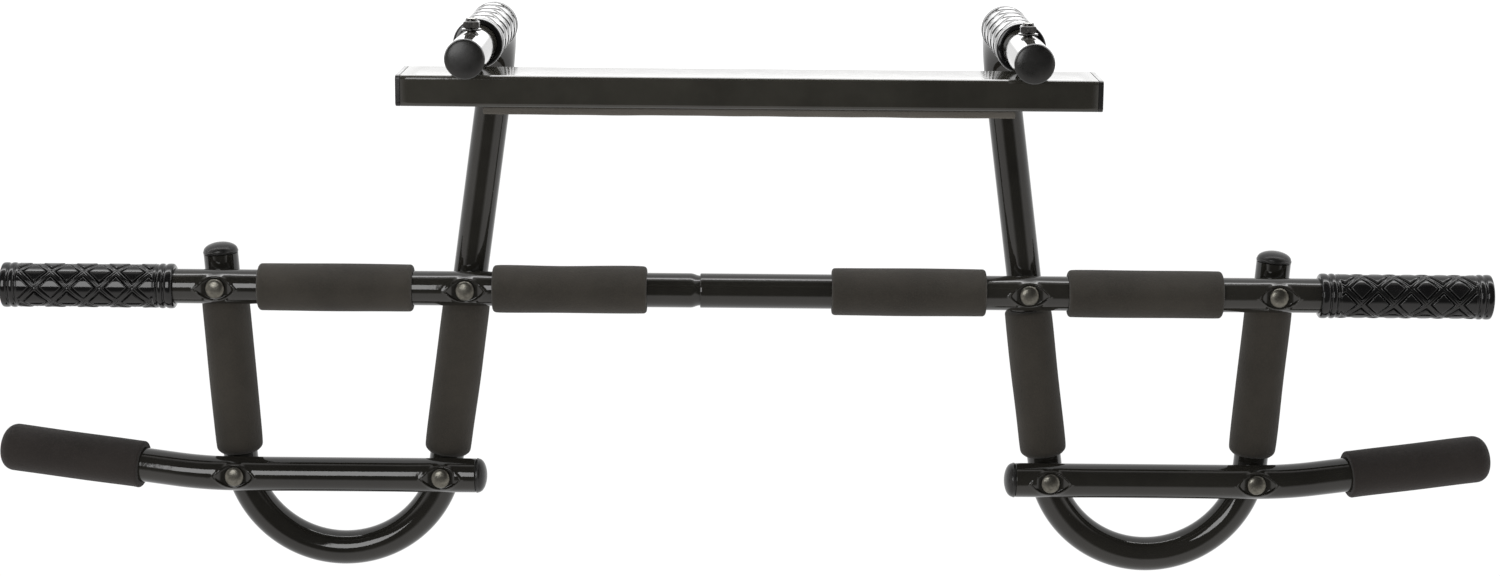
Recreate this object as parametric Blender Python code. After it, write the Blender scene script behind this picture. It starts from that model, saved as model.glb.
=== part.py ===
"""Doorway pull-up bar lying on its foam sleeves: two bent frame tubes, a two-piece main bar,
two lower bars, a door beam with a wall pad, foam and rubber grips, plugs and fasteners.

Row frame: +X along the main bar, +Y from the bars toward the door beam, +Z up.
"""
import math
from math import cos, pi, radians, sin

import bmesh
import bpy
from mathutils import Matrix, Vector

for old in list(bpy.data.objects):
    bpy.data.objects.remove(old, do_unlink=True)

MM = 0.001
GAP = 0.3 * MM                      # clearance kept between neighbouring pieces
UP = Vector((0, 0, 1))
SIDES = (("left", -1), ("right", 1))

# ---------------------------------------------------------------- driving dimensions
TUBE_R = 12.5 * MM                  # all round tubes are 25 mm outside diameter
BORE_R = 11.25 * MM                 # inside radius of the 1.25 mm wall tubes
FRAME_Z = 17.2 * MM                 # frame tube axis: its foams just touch Z = 0
BAR_Z = FRAME_Z + 2 * TUBE_R + GAP  # main and lower bar axes lie on top of the frame tubes
BASE_Y = -1.26 * MM                 # main bar axis; puts Y = 0 in the middle of the footprint

# main bar
BAR_END_X = 537.7 * MM              # outer end of the main bar's rubber grips
JOINT_X = -34.0 * MM                # seam where the left half enters the right one
SHOULDER_L = 7.0 * MM               # swaged taper of the left half beside the seam
SPIGOT_L = 60.0 * MM                # swaged length inside the right half
SPIGOT_R = 10.9 * MM
BAR_BORE = 30.0 * MM                # depth of the open bores at the bar's outer ends

# frame tubes, Y measured from the main bar axis
INNER_X = 203.4 * MM                # inner leg axis where it crosses the main bar
OUTER_X = 383.5 * MM                # outer leg axis where it crosses the main bar
INNER_LEAN = 0.138                  # sideways run of the inner leg per unit of its length in Y
OUTER_LEAN = 0.070                  # the same for the outer leg, which leans the other way
U_CENTRE_Y = -126.0 * MM            # centre of the U-bend
OUTER_TOP_Y = 20.0 * MM             # outer leg ends just past the main bar
ARM_Y = 197.0 * MM                  # vertical arm axis
ARM_BEND_R = 65.0 * MM
ARM_TOP = 287.5 * MM                # arm tube end above the frame tube axis

# lower bars
LOWER_Y = -139.7 * MM               # axis, from the main bar axis
LOWER_IN_X = 197.5 * MM             # inner end of the tube
LOWER_BEND_X = 395.0 * MM           # where the two straight runs would meet
LOWER_BEND_R = 270.0 * MM
LOWER_TIP_X = 547.5 * MM            # rounded tip of the outer foam, on its axis
LOWER_DROP = 22.0 * MM              # the outer ends fall toward the floor
LOWER_SWEEP = 14.0 * MM             # and sweep toward the main bar

# foam sleeves, 34.4 mm outside diameter
FOAM_R = 17.2 * MM
FOAM_EDGE = 3.0 * MM                # rounding of the sleeves' ends
BAR_FOAM_L = 111.4 * MM
BAR_FOAMS = (("centre", "left", 72.5 * MM), ("side", "left", 241.6 * MM),
             ("centre", "right", 61.0 * MM), ("side", "right", 231.9 * MM))
LEG_FOAMS = (("outer", "left", -129.0 * MM, -11.5 * MM), ("inner", "left", -129.0 * MM, -11.5 * MM),
             ("outer", "right", -125.5 * MM, -11.5 * MM), ("inner", "right", -126.5 * MM, -16.0 * MM))
LOWER_FOAM_L = 106.5 * MM
LOWER_FOAM_TIP = 9.0 * MM           # rounding of the closed tip
LOWER_FOAM_WALL = 4.5 * MM          # foam beyond the end of the tube

# rubber grips
GRIP_L = 124.0 * MM
GRIP_R = 15.5 * MM                  # between the end rings
RING_R = 16.3 * MM                  # raised end rings
GRIP_WALL = 4.0 * MM                # closed end of the main bar's grips
ARM_GRIP_Z = 78.0 * MM              # lower end of the arm grips above the frame tube axis

# tube plugs
PLUG_DEPTH = 13.0 * MM
PLUG_RIM_R = 12.7 * MM
DOME_H = 6.1 * MM
SOCKET_DEPTH = PLUG_DEPTH + 2 * MM

# door beam and wall pad
BEAM_L = 444.6 * MM                 # over the end plugs
BEAM_T = 20.0 * MM                  # along Y
BEAM_H = 50.0 * MM                  # along Z
BEAM_TOP = 266.6 * MM               # above the frame tube axis
BEAM_WALL = 1.5 * MM
BEAM_ROUND = 2.5 * MM
BEAM_PLUG_T = 3.0 * MM              # flange of the end plugs
BEAM_PLUG_DEPTH = 14.0 * MM
PAD_L = 336.0 * MM
PAD_T = 5.0 * MM
PAD_H = 38.0 * MM

# fasteners
BOLT_R = 3.0 * MM
HOLE_R = 3.3 * MM
HEAD_R = 7.25 * MM
HEAD_H = 3.4 * MM
BEAM_HEAD_H = 1.6 * MM              # flatter heads on the beam
HEAD_EDGE = 0.5 * MM
BOLT_END = 5.6 * MM                 # bolt beyond the seat of its nut
BEAM_BOLT_END = 8.3 * MM            # bolt beyond the back of the arm
NUT_ACROSS = 10.0 * MM
NUT_H = 4.8 * MM
LOCK_NUT_H = 4.6 * MM
LOCK_COLLAR = 1.6 * MM
WASHER_R = 6.2 * MM
WASHER_T = 1.2 * MM

# flattened, eye-shaped seats pressed into the tubes round each bolt
SEAT_DEPTH = 3.8 * MM
SEAT_HALF = 15.0 * MM               # half length under the bolt heads
NUT_SEAT_HALF = 12.0 * MM           # half length under the nuts
SEAT_LEVEL = 0.54                   # share of the seat's length that is level
HEAD_STEPS = [q * MM for q in (-15, -12.6, -10.4, -8.1, 0, 8.1, 10.4, 12.6, 15)]
NUT_STEPS = [q * MM for q in (-12, -9, -6.5, 0, 6.5, 9, 12)]

# mesh fineness
N_BAR, N_FRAME, N_FOAM, N_GRIP, N_PLUG, N_BOLT = 24, 20, 20, 24, 20, 12
N_HOLE, N_WASHER, N_NUT = 16, 16, 12
U_STEPS, ARM_STEPS, LOWER_STEPS = 14, 10, 8
MIN_STEP = 0.5 * MM                 # rings closer than this are left out


# ---------------------------------------------------------------- materials
def material(name, rgb, rough, metallic=0.0):
    made = bpy.data.materials.new(name)
    made.use_nodes = True
    surface = made.node_tree.nodes["Principled BSDF"]
    surface.inputs["Base Color"].default_value = (*rgb, 1.0)
    surface.inputs["Roughness"].default_value = rough
    surface.inputs["Metallic"].default_value = metallic
    return made


M_PAINT = material("gloss_black_paint", (0.012, 0.012, 0.010), 0.22)
M_FOAM = material("charcoal_foam", (0.050, 0.047, 0.040), 0.95)
M_RUBBER = material("black_rubber", (0.018, 0.018, 0.016), 0.55)
M_PLASTIC = material("black_plastic", (0.022, 0.021, 0.020), 0.45)
M_STEEL = material("zinc_steel", (0.42, 0.42, 0.40), 0.38, 1.0)
M_PAD = material("eva_pad", (0.070, 0.064, 0.055), 0.9)


# ---------------------------------------------------------------- mesh helpers
def link(name, bm, mat, angle=35.0):
    """Turn a bmesh into a named object; edges sharper than angle stay crisp."""
    bmesh.ops.recalc_face_normals(bm, faces=bm.faces)
    for face in bm.faces:
        face.smooth = True
    for edge in bm.edges:
        if len(edge.link_faces) == 2:
            edge.smooth = edge.calc_face_angle(0.0) < radians(angle)
    mesh = bpy.data.meshes.new(name)
    bm.to_mesh(mesh)
    bm.free()
    mesh.materials.append(mat)
    made = bpy.data.objects.new(name, mesh)
    bpy.context.scene.collection.objects.link(made)
    return made


def axis_frame(origin, direction):
    """Matrix whose +Z runs along direction, placed at origin."""
    along = Vector(direction).normalized()
    up = Vector((0, 1, 0)) if abs(along.z) > 0.98 else UP
    side = up.cross(along).normalized()
    frame = Matrix((side, along.cross(side), along)).transposed().to_4x4()
    frame.translation = Vector(origin)
    return frame


def circle(radius, height, segs):
    """Points round the Z axis at a height."""
    turns = [2 * pi * k / segs for k in range(segs)]
    return [Vector((radius * cos(a), radius * sin(a), height)) for a in turns]


def stitch(bm, rings, joined=False):
    """Faces between rings of vertices. A ring may be a single vertex."""
    pairs = list(zip(rings, rings[1:]))
    if joined:
        pairs.append((rings[-1], rings[0]))
    for a, b in pairs:
        for i in range(max(len(a), len(b))):
            j = (i + 1) % max(len(a), len(b))
            if len(a) == 1:
                bm.faces.new((a[0], b[j], b[i]))
            elif len(b) == 1:
                bm.faces.new((a[i], a[j], b[0]))
            else:
                bm.faces.new((a[i], a[j], b[j], b[i]))


def skinned(name, rings, mat, joined=False, angle=35.0):
    """Closed body through rings of points, capped at both ends unless joined into a loop."""
    bm = bmesh.new()
    made = [[bm.verts.new(point) for point in ring] for ring in rings]
    stitch(bm, made, joined)
    if not joined:
        for end in (made[0], made[-1]):
            if len(end) > 1:
                bm.faces.new(end)
    return link(name, bm, mat, angle)


def revolve(name, profile, segs, frame, mat, joined=False, angle=35.0):
    """Turn (radius, height) points about the frame's Z; a joined profile gives a sleeve."""
    rings = [circle(r, h, segs) if r > 0 else [Vector((0, 0, h))] for r, h in profile]
    rings = [[frame @ point for point in ring] for ring in rings]
    return skinned(name, rings, mat, joined, angle)


def corner(radius, height, rounding, start, end, steps):
    """Points of an arc in a profile, angles in degrees."""
    turns = [radians(start + (end - start) * k / steps) for k in range(steps + 1)]
    return [(radius + rounding * cos(a), height + rounding * sin(a)) for a in turns]


class Path:
    """Centre line built from straight runs and arcs, sampled with unit tangents."""

    def __init__(self, start):
        self.points = [Vector(start)]
        self.tangents = []

    def line(self, end, stops=()):
        """Straight run with extra rings at the given distances from its start."""
        start, end = self.points[-1], Vector(end)
        along = (end - start).normalized()
        if not self.tangents:
            self.tangents.append(along)
        for place in [start + along * stop for stop in stops] + [end]:
            self.points.append(place)
            self.tangents.append(along)

    def arc(self, centre, normal, angles):
        """Turn about the line through centre along normal, with a ring at each angle."""
        centre, normal = Vector(centre), Vector(normal).normalized()
        spoke = self.points[-1] - centre
        for angle in angles:
            turned = Matrix.Rotation(angle, 3, normal) @ spoke
            self.points.append(centre + turned)
            self.tangents.append(normal.cross(turned).normalized())


def even(end, steps, start=0.0):
    return [start + (end - start) * k / steps for k in range(1, steps + 1)]


def press_seat(ring, point, centre, facing, half):
    """Flatten one tube ring where it lies in a bolt seat."""
    away = (point - centre).length
    if away >= half:
        return ring
    rise = max(0.0, away - SEAT_LEVEL * half) / (half * (1 - SEAT_LEVEL))
    level = TUBE_R - SEAT_DEPTH * (1 - rise ** 2)
    return [q - facing * max(0.0, (q - point).dot(facing) - level) for q in ring]


def tube(name, path, segs, bores=(), seats=(), neck=()):
    """Round painted tube along a path. bores: (end, depth) open sockets, end 0 or -1. seats:
    (centre, facing, half length). neck: (distance beyond the path, radius) of a swaged end."""
    side = UP
    rings = []
    for point, along in zip(path.points, path.tangents):
        side = (side - along * side.dot(along)).normalized()
        lift = along.cross(side)
        ring = [point + side * q.x + lift * q.y for q in circle(TUBE_R, 0, segs)]
        for centre, facing, half in seats:
            ring = press_seat(ring, point, centre, facing, half)
        rings.append(ring)
    tip, way = path.points[-1], path.tangents[-1]
    for beyond, radius in neck:
        rings.append([tip + way * beyond + (q - tip) * radius / TUBE_R
                      for q in rings[len(path.points) - 1]])
    for end, depth in bores:
        centre = path.points[end]
        inward = path.tangents[end] * (depth if end == 0 else -depth)
        mouth = [centre + (q - centre) * BORE_R / TUBE_R for q in rings[end]]
        floor = [q + inward for q in mouth]
        rings = [floor, mouth] + rings if end == 0 else rings + [mouth, floor]
    return skinned(name, rings, M_PAINT)


def rounded_loop(x, centre, size_y, size_z, rounding, steps):
    """Rounded rectangle across X."""
    loop = []
    for y, z, start in ((1, 1, 0), (-1, 1, 90), (-1, -1, 180), (1, -1, 270)):
        loop += corner(y * (size_y / 2 - rounding), z * (size_z / 2 - rounding), rounding,
                       start, start + 90, steps)
    return [Vector((x, centre.y + y, centre.z + z)) for y, z in loop]


def drill(target, shafts):
    """Cut round bolt holes; shafts are (centre, direction)."""
    bm = bmesh.new()
    length = 40 * MM
    for centre, direction in shafts:
        frame = axis_frame(centre, direction)
        rings = [[bm.verts.new(frame @ q) for q in circle(HOLE_R, h, N_HOLE)]
                 for h in (-length / 2, length / 2)]
        stitch(bm, rings)
        bm.faces.new(rings[0])
        bm.faces.new(rings[1])
    cutter = link("cut_" + target.name, bm, M_STEEL)
    cutter.hide_render = True
    cutter.display_type = "WIRE"
    holes = target.modifiers.new("holes", "BOOLEAN")
    holes.object = cutter
    holes.operation = "DIFFERENCE"
    holes.solver = "EXACT"


# ---------------------------------------------------------------- layout
def leg_x(outer, y):
    """Leg axis distance from the middle plane, y measured from the main bar axis."""
    return OUTER_X + OUTER_LEAN * y if outer else INNER_X - INNER_LEAN * y


IN_ANGLE = math.atan(INNER_LEAN)
OUT_ANGLE = math.atan(OUTER_LEAN)
# the U-bend is the circle that touches both leaning legs
U_WIDTH = leg_x(True, U_CENTRE_Y) - leg_x(False, U_CENTRE_Y)
U_R = U_WIDTH / (1 / cos(IN_ANGLE) + 1 / cos(OUT_ANGLE))
U_MID_X = leg_x(False, U_CENTRE_Y) + U_R / cos(IN_ANGLE)
ARM_X = leg_x(False, ARM_Y)
ARM_AXIS_Y = BASE_Y + ARM_Y
BEAM_FACE_Y = ARM_AXIS_Y - TUBE_R - GAP - BEAM_T
BEAM_MID = Vector((0, BEAM_FACE_Y + BEAM_T / 2, FRAME_Z + BEAM_TOP - BEAM_H / 2))
HEAD_SEAT_Z = BAR_Z + TUBE_R - SEAT_DEPTH
NUT_SEAT_Z = FRAME_Z - TUBE_R + SEAT_DEPTH


def leg_point(outer, y, s):
    return Vector((s * leg_x(outer, y), BASE_Y + y, FRAME_Z))


def crossings(s):
    """Bolt axes where the bars lie over the frame tube, by name, at Z = 0."""
    dy = LOWER_Y - U_CENTRE_Y
    reach = math.sqrt(U_R ** 2 - dy ** 2)
    return {
        "main_outer": Vector((s * OUTER_X, BASE_Y, 0)),
        "main_inner": Vector((s * INNER_X, BASE_Y, 0)),
        "lower_outer": Vector((s * (U_MID_X + reach), BASE_Y + LOWER_Y, 0)),
        "lower_inner": Vector((s * (U_MID_X - reach), BASE_Y + LOWER_Y, 0)),
    }


# ---------------------------------------------------------------- frame tubes
def frame_path(s):
    """Outer leg down, round the U, up the inner leg, 90 degrees up into the arm."""
    centre = Vector((s * U_MID_X, BASE_Y + U_CENTRE_Y, FRAME_Z))
    start = leg_point(True, OUTER_TOP_Y, s)
    touch_out = centre + Vector((s * cos(OUT_ANGLE), -sin(OUT_ANGLE), 0)) * U_R
    touch_in = centre + Vector((-s * cos(IN_ANGLE), -sin(IN_ANGLE), 0)) * U_R
    turn = pi - IN_ANGLE - OUT_ANGLE

    # each lower bolt lies a little way round the bend; its seat's rings reach back onto the leg
    drop = math.asin((U_CENTRE_Y - LOWER_Y) / U_R)
    past_out, past_in = U_R * (drop - OUT_ANGLE), U_R * (drop - IN_ANGLE)
    on_leg = [past_out + q for q in NUT_STEPS if past_out + q < -MIN_STEP]
    on_bend = [(past_out + q) / U_R for q in NUT_STEPS if past_out + q > MIN_STEP]
    off_bend = [turn - (past_in + q) / U_R for q in reversed(NUT_STEPS) if past_in + q > MIN_STEP]
    off_leg = [-past_in - q for q in reversed(NUT_STEPS) if past_in + q < -MIN_STEP]

    path = Path(start)
    run = (touch_out - start).length
    bolt_at = OUTER_TOP_Y / cos(OUT_ANGLE)
    path.line(touch_out, [bolt_at + q for q in NUT_STEPS] + [run + q for q in on_leg])
    path.arc(centre, (0, 0, -s),
             on_bend + even(off_bend[0], U_STEPS, on_bend[-1]) + off_bend[1:] + [turn])

    inner_way = Vector((-s * sin(IN_ANGLE), cos(IN_ANGLE), 0))
    arm = leg_point(False, ARM_Y, s)
    foot = arm - inner_way * ARM_BEND_R
    bolt_at = (leg_point(False, 0, s) - touch_in).length
    path.line(foot, off_leg + [bolt_at + q for q in NUT_STEPS])
    path.arc(foot + UP * ARM_BEND_R, inner_way.cross(UP), even(pi / 2, ARM_STEPS))
    path.line(arm + UP * ARM_TOP)
    return path


def frame_tube(tag, s, spots):
    """Bent tube with sockets for its two plugs, nut seats underneath and bolt holes."""
    seats = [(spot + UP * FRAME_Z, -UP, NUT_SEAT_HALF) for spot in spots.values()]
    made = tube("frame_tube_" + tag, frame_path(s), N_FRAME,
                bores=((0, SOCKET_DEPTH), (-1, SOCKET_DEPTH)), seats=seats)
    drill(made, [(spot + UP * FRAME_Z, UP) for spot in spots.values()]
          + [((s * ARM_X, ARM_AXIS_Y, BEAM_MID.z), (0, 1, 0))])


# ---------------------------------------------------------------- plugs
def plug_stem():
    """Section of a plug's spigot and the underside of its head."""
    spigot_r, bevel = BORE_R - GAP, 1.0 * MM
    return [(0.0, -PLUG_DEPTH), (spigot_r - bevel, -PLUG_DEPTH), (spigot_r, bevel - PLUG_DEPTH),
            (spigot_r, GAP), (PLUG_RIM_R - GAP, GAP), (PLUG_RIM_R, GAP + 0.4 * MM)]


def domed_plug(name, at, direction):
    rim_h = 1.9 * MM
    profile = plug_stem() + [(PLUG_RIM_R, rim_h)]
    profile += [(PLUG_RIM_R * cos(a), rim_h + DOME_H * sin(a)) for a in map(radians, (22, 44, 66))]
    profile += [(0.0, rim_h + DOME_H)]
    revolve(name, profile, N_PLUG, axis_frame(at, direction), M_PLASTIC)


def flat_plug(name, at, direction):
    crown = [(0.0, 2.5 * MM), (0.6 * MM, 3.1 * MM), (2.2 * MM, 3.3 * MM)]     # (inset, height)
    profile = plug_stem() + [(PLUG_RIM_R - inset, h) for inset, h in crown] + [(0.0, 3.5 * MM)]
    revolve(name, profile, N_PLUG, axis_frame(at, direction), M_PLASTIC)


# ---------------------------------------------------------------- foam sleeves
def foam_sleeve(name, start, direction, length):
    """Open sleeve with rounded ends."""
    bore = TUBE_R + GAP
    edge = FOAM_R - FOAM_EDGE
    profile = [(bore, 0.0)] + corner(edge, FOAM_EDGE, FOAM_EDGE, -90, 0, 2) \
        + corner(edge, length - FOAM_EDGE, FOAM_EDGE, 0, 90, 2) + [(bore, length)]
    revolve(name, profile, N_FOAM, axis_frame(start, direction), M_FOAM, joined=True)


def leg_foams(side_tag, s):
    for where, tag, low_y, high_y in LEG_FOAMS:
        if tag == side_tag:
            start = leg_point(where == "outer", low_y, s)
            run = leg_point(where == "outer", high_y, s) - start
            foam_sleeve("leg_foam_%s_%s" % (where, tag), start, run, run.length)


def bar_foams(side_tag, s):
    for where, tag, x in BAR_FOAMS:
        if tag == side_tag:
            foam_sleeve("bar_foam_%s_%s" % (where, tag), (s * x, BASE_Y, BAR_Z), (s, 0, 0), BAR_FOAM_L)


def lower_foam(tag, tip, direction):
    """Closed sleeve over the outer end of a lower bar."""
    bore, length = TUBE_R + GAP, LOWER_FOAM_L
    floor = length - LOWER_FOAM_WALL + GAP
    profile = [(0.0, floor), (bore, floor), (bore, 0.0)] \
        + corner(FOAM_R - FOAM_EDGE, FOAM_EDGE, FOAM_EDGE, -90, 0, 2) \
        + corner(FOAM_R - LOWER_FOAM_TIP, length - LOWER_FOAM_TIP, LOWER_FOAM_TIP, 0, 90, 5) \
        + [(0.0, length)]
    frame = axis_frame(tip - direction * length, direction)
    revolve("lower_foam_" + tag, profile, N_FOAM, frame, M_FOAM)


# ---------------------------------------------------------------- rubber grips
def grip_rings():
    """Outside of one grip end: two raised rings, each with a groove behind it."""
    edge = 0.8 * MM
    return [(RING_R - edge, 0.0), (RING_R, edge), (RING_R, 3.6 * MM), (GRIP_R, 4.6 * MM),
            (RING_R, 5.6 * MM), (RING_R, 8.8 * MM), (GRIP_R, 9.9 * MM)]


def grip_outside():
    rings = grip_rings()
    return rings + [(r, GRIP_L - h) for r, h in reversed(rings)]


def arm_grip(tag, s):
    """Open rubber sleeve on an arm."""
    bore = TUBE_R + GAP
    profile = [(bore, 0.0)] + grip_outside() + [(bore, GRIP_L)]
    frame = axis_frame((s * ARM_X, ARM_AXIS_Y, FRAME_Z + ARM_GRIP_Z), UP)
    revolve("arm_grip_" + tag, profile, N_GRIP, frame, M_RUBBER, joined=True)


def end_grip(tag, s):
    """Closed rubber grip over an end of the main bar."""
    bore, floor = TUBE_R + GAP, GRIP_L - GRIP_WALL
    profile = [(0.0, floor), (bore, floor), (bore, 0.0)] + grip_outside() + [(0.0, GRIP_L)]
    frame = axis_frame((s * (BAR_END_X - GRIP_L), BASE_Y, BAR_Z), (s, 0, 0))
    revolve("end_grip_" + tag, profile, N_GRIP, frame, M_RUBBER)


# ---------------------------------------------------------------- main bar
def main_bar(tag, s, spots):
    """One half of the bar, from its outer end to the seam. The left half ends in a swaged neck
    and spigot, the right half in the socket that takes it."""
    bolts = [spots[key] + UP * BAR_Z for key in ("main_outer", "main_inner")]
    outer_end = BAR_END_X - GRIP_WALL - 2 * GAP
    seam = JOINT_X - SHOULDER_L if s < 0 else JOINT_X
    path = Path((s * outer_end, BASE_Y, BAR_Z))
    path.line((seam, BASE_Y, BAR_Z),
              [outer_end - abs(bolt.x) + q for bolt in bolts for q in HEAD_STEPS])
    bores = [(0, BAR_BORE)]
    neck = ()
    if s < 0:
        neck = ((3.0 * MM, 12.1 * MM), (6.0 * MM, SPIGOT_R + 0.2 * MM), (8.5 * MM, SPIGOT_R),
                (SHOULDER_L + SPIGOT_L - 1 * MM, SPIGOT_R),
                (SHOULDER_L + SPIGOT_L, SPIGOT_R - 0.8 * MM))
    else:
        bores.append((-1, SPIGOT_L + 5 * MM))
    made = tube("main_bar_" + tag, path, N_BAR, bores, [(at, UP, SEAT_HALF) for at in bolts], neck)
    drill(made, [(at, UP) for at in bolts])


# ---------------------------------------------------------------- lower bars
def lower_path(s, bolts):
    """Straight over the U-bend, then bent gently down and forward to the tip."""
    turn = math.atan2(math.hypot(LOWER_DROP, LOWER_SWEEP), LOWER_TIP_X - LOWER_BEND_X)
    way = Vector((0, LOWER_SWEEP, -LOWER_DROP)).normalized()
    half = LOWER_BEND_R * math.tan(turn / 2)
    bend = Vector((s * (LOWER_BEND_X - half), BASE_Y + LOWER_Y, BAR_Z))
    path = Path((s * LOWER_IN_X, BASE_Y + LOWER_Y, BAR_Z))
    run = LOWER_BEND_X - half - LOWER_IN_X
    stops = [abs(at.x) - LOWER_IN_X + q for at in bolts for q in HEAD_STEPS]
    path.line(bend, [q for q in stops if q < run - MIN_STEP])
    on_bend = [(q - run) / LOWER_BEND_R for q in stops if q > run + MIN_STEP]
    path.arc(bend + way * LOWER_BEND_R, Vector((s, 0, 0)).cross(way),
             on_bend + even(turn, LOWER_STEPS, on_bend[-1] if on_bend else 0.0))
    along = path.tangents[-1]
    reach = (LOWER_TIP_X - abs(path.points[-1].x)) / abs(along.x)
    path.line(path.points[-1] + along * (reach - LOWER_FOAM_WALL))
    return path


def lower_bar(tag, s, spots):
    """Short bar over the U-bend, with the plug at its inner end and the foam at its tip."""
    bolts = [spots[key] + UP * BAR_Z for key in ("lower_inner", "lower_outer")]
    path = lower_path(s, bolts)
    made = tube("lower_bar_" + tag, path, N_BAR, bores=((0, SOCKET_DEPTH),),
                seats=[(at, UP, SEAT_HALF) for at in bolts])
    drill(made, [(at, UP) for at in bolts])
    domed_plug("lower_plug_" + tag, path.points[0], (-s, 0, 0))
    lower_foam(tag, path.points[-1] + path.tangents[-1] * LOWER_FOAM_WALL, path.tangents[-1])


# ---------------------------------------------------------------- fasteners
def carriage_bolt(name, seat, direction, length, head_h):
    """Domed carriage bolt; seat is the point under its head, direction points out of the head."""
    bevel = 0.5 * MM
    profile = [(0.0, -length), (BOLT_R - bevel, -length), (BOLT_R, bevel - length), (BOLT_R, 0.0),
               (HEAD_R - GAP, 0.0), (HEAD_R, HEAD_EDGE)]
    profile += [(HEAD_R * cos(a), HEAD_EDGE + (head_h - HEAD_EDGE) * sin(a))
                for a in map(radians, (25, 48, 70))]
    profile += [(0.0, head_h)]
    revolve(name, profile, N_BOLT, axis_frame(seat, direction), M_STEEL, angle=40.0)


def hexagon(half_across, height):
    """Hexagon with extra points along its sides."""
    ring = []
    for k in range(N_NUT):
        a = 2 * pi * k / N_NUT
        off_flat = (a + pi / 6) % (pi / 3) - pi / 6
        ring.append(Vector((cos(a), sin(a), 0)) * (half_across / cos(off_flat)) + UP * height)
    return ring


def hex_nut(name, base, direction, height, collar=0.0):
    """Chamfered nut standing on base; a collar adds the round top of a lock nut."""
    flat, bore, bevel = NUT_ACROSS / 2, BOLT_R + 0.25 * MM, 0.5 * MM
    rings = [circle(bore, 0.0, N_NUT), circle(flat * 0.96, 0.0, N_NUT), hexagon(flat, bevel),
             hexagon(flat, height - bevel), circle(flat * 0.96, height, N_NUT)]
    if collar:
        rings += [circle(flat * 0.78, height + 0.1 * MM, N_NUT),
                  circle(flat * 0.74, height + collar, N_NUT)]
    rings += [circle(bore, height + collar, N_NUT)]
    frame = axis_frame(base, direction)
    skinned(name, [[frame @ q for q in ring] for ring in rings], M_STEEL, True, 25.0)


def crossing_fasteners(tag, spots):
    """Carriage bolts down through bar and frame tube, nuts in the seats underneath."""
    length = HEAD_SEAT_Z - NUT_SEAT_Z + BOLT_END + GAP
    for key, spot in spots.items():
        carriage_bolt("bolt_%s_%s" % (key, tag), spot + UP * (HEAD_SEAT_Z + GAP), UP, length,
                      HEAD_H)
        hex_nut("nut_%s_%s" % (key, tag), spot + UP * (NUT_SEAT_Z - GAP), -UP, NUT_H)


def beam_fasteners(tag, s):
    """Bolt through beam and arm, washer and lock nut behind the arm."""
    back_y = ARM_AXIS_Y + TUBE_R
    length = back_y - BEAM_FACE_Y + BEAM_BOLT_END
    way = Vector((0, 1, 0))
    at = Vector((s * ARM_X, 0, BEAM_MID.z))
    carriage_bolt("beam_bolt_" + tag, at + way * (BEAM_FACE_Y - GAP), -way, length, BEAM_HEAD_H)
    hole = BOLT_R + GAP
    section = [(hole, 0.0), (WASHER_R, 0.0), (WASHER_R, WASHER_T), (hole, WASHER_T)]
    revolve("beam_washer_" + tag, section, N_WASHER, axis_frame(at + way * (back_y + GAP), way),
            M_STEEL, joined=True)
    hex_nut("beam_nut_" + tag, at + way * (back_y + 2 * GAP + WASHER_T), way, LOCK_NUT_H,
            LOCK_COLLAR)


# ---------------------------------------------------------------- door beam and wall pad
def beam_plug(tag, s):
    """Thin flange over the beam's end with a spigot into its bore."""
    spigot_y = BEAM_T - 2 * BEAM_WALL - 4 * GAP
    spigot_z = BEAM_H - 2 * BEAM_WALL - 4 * GAP
    small = 0.6 * MM
    face = BEAM_L / 2
    flange = face - BEAM_PLUG_T
    steps = 3
    rings = [rounded_loop(s * (flange - BEAM_PLUG_DEPTH), BEAM_MID, spigot_y, spigot_z, small, steps),
             rounded_loop(s * flange, BEAM_MID, spigot_y, spigot_z, small, steps),
             rounded_loop(s * flange, BEAM_MID, BEAM_T, BEAM_H, BEAM_ROUND, steps),
             rounded_loop(s * face, BEAM_MID, BEAM_T, BEAM_H, BEAM_ROUND, steps)]
    skinned("beam_plug_" + tag, rings, M_PLASTIC, angle=50.0)


def door_beam():
    """Rectangular tube across the arms, drilled for its two bolts."""
    half = BEAM_L / 2 - BEAM_PLUG_T - GAP
    bore_y, bore_z = BEAM_T - 2 * BEAM_WALL, BEAM_H - 2 * BEAM_WALL
    inner_round = 0.6 * MM
    steps = 3
    rings = [rounded_loop(-half, BEAM_MID, bore_y, bore_z, inner_round, steps),
             rounded_loop(-half, BEAM_MID, BEAM_T, BEAM_H, BEAM_ROUND, steps),
             rounded_loop(half, BEAM_MID, BEAM_T, BEAM_H, BEAM_ROUND, steps),
             rounded_loop(half, BEAM_MID, bore_y, bore_z, inner_round, steps)]
    made = skinned("door_beam", rings, M_PAINT, joined=True, angle=50.0)
    drill(made, [((s * ARM_X, BEAM_MID.y, BEAM_MID.z), (0, 1, 0)) for _, s in SIDES])


def wall_pad():
    """Soft strip on the beam's face, between the bolts."""
    centre = Vector((0, BEAM_FACE_Y - GAP - PAD_T / 2, BEAM_MID.z))
    rings = [rounded_loop(x, centre, PAD_T, PAD_H, 1.2 * MM, 2) for x in (-PAD_L / 2, PAD_L / 2)]
    skinned("wall_pad", rings, M_PAD, angle=50.0)


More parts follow.
